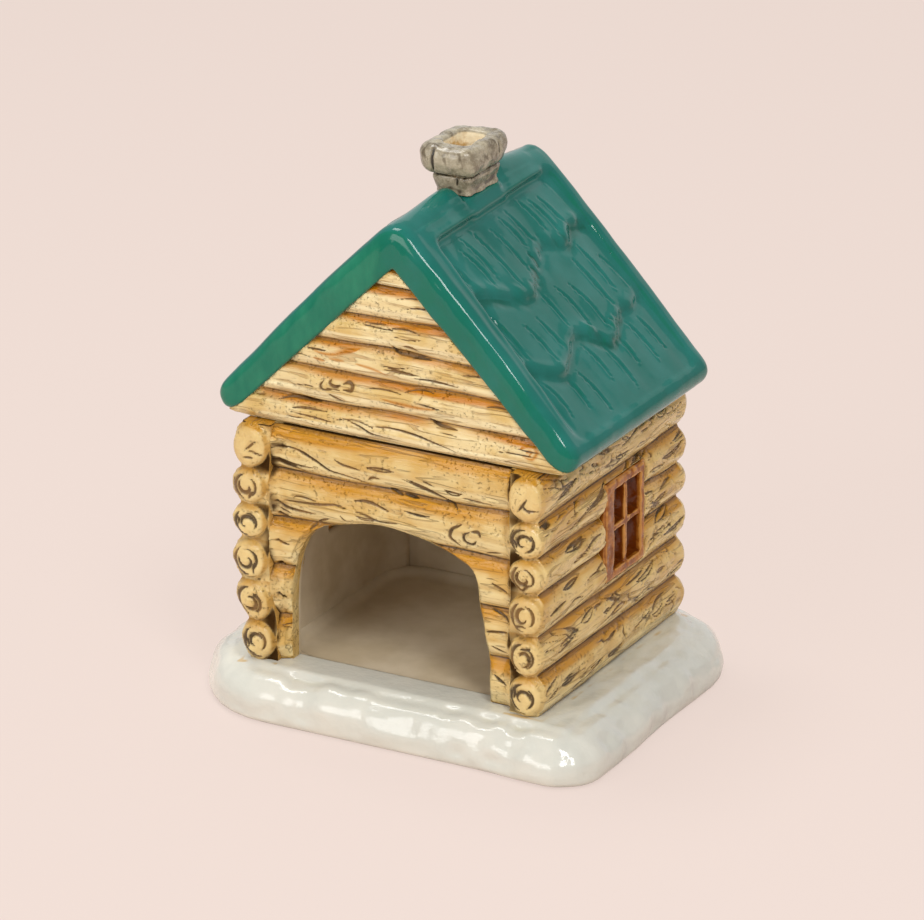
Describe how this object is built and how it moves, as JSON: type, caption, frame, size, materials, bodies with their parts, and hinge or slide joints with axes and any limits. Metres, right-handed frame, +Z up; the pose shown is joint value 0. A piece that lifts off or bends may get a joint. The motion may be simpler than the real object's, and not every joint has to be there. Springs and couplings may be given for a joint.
{
  "type": "wax melt burner",
  "caption": "Glazed ceramic log cabin burner: lift-off roof with open chimney, wax dish on inner ledges, arched candle chamber, pierced side windows, snow base.",
  "frame": {"origin": "centre of the footprint, on the surface that the burner stands on", "axes": "+Z up, the arched front faces -Y, +X is the viewer's right when facing the front"},
  "size_m": [0.1118, 0.0948, 0.1377],
  "materials": {
    "snow_glaze": "clear gloss over off-white, lumpy like settled snow",
    "log_glaze": "honey glaze, amber where it pools between the logs, with dark brown incised grain",
    "gable_glaze": "paler cream glaze with amber pools and dark brown incised grain",
    "frame_glaze": "glossy brown",
    "bare_clay": "smooth grey-beige, thinly glazed",
    "dish_glaze": "clear gloss over cream",
    "roof_glaze": "deep gloss teal green, lighter on the edges",
    "stone_glaze": "mottled grey-brown, satin"
  },
  "bodies": {
    "cabin": {"snow_base": "snow_glaze", "front_wall": "log_glaze", "back_wall": "log_glaze", "left_wall": "log_glaze", "right_wall": "log_glaze", "left_window_frame": "frame_glaze", "right_window_frame": "frame_glaze", "left_dish_ledge": "bare_clay", "right_dish_ledge": "bare_clay"},
    "dish": {"wax_dish": "dish_glaze"},
    "lid": {"roof_shell": "roof_glaze", "front_gable": "gable_glaze", "back_gable": "gable_glaze", "locating_rim": "bare_clay", "chimney_stack": "stone_glaze", "chimney_cap": "stone_glaze"}
  },
  "joints": [
    {"name": "roof_lift", "type": "slide", "parent": "cabin", "child": "lid", "axis": [0, 0, 1], "range_m": [0, 0.14]},
    {"name": "dish_lift", "type": "slide", "parent": "cabin", "child": "dish", "axis": [0, 0, 1], "range_m": [0, 0.07]}
  ],
  "couplings": [
    {"joint": "dish_lift", "follows": "roof_lift", "ratio": 0.5}
  ]
}
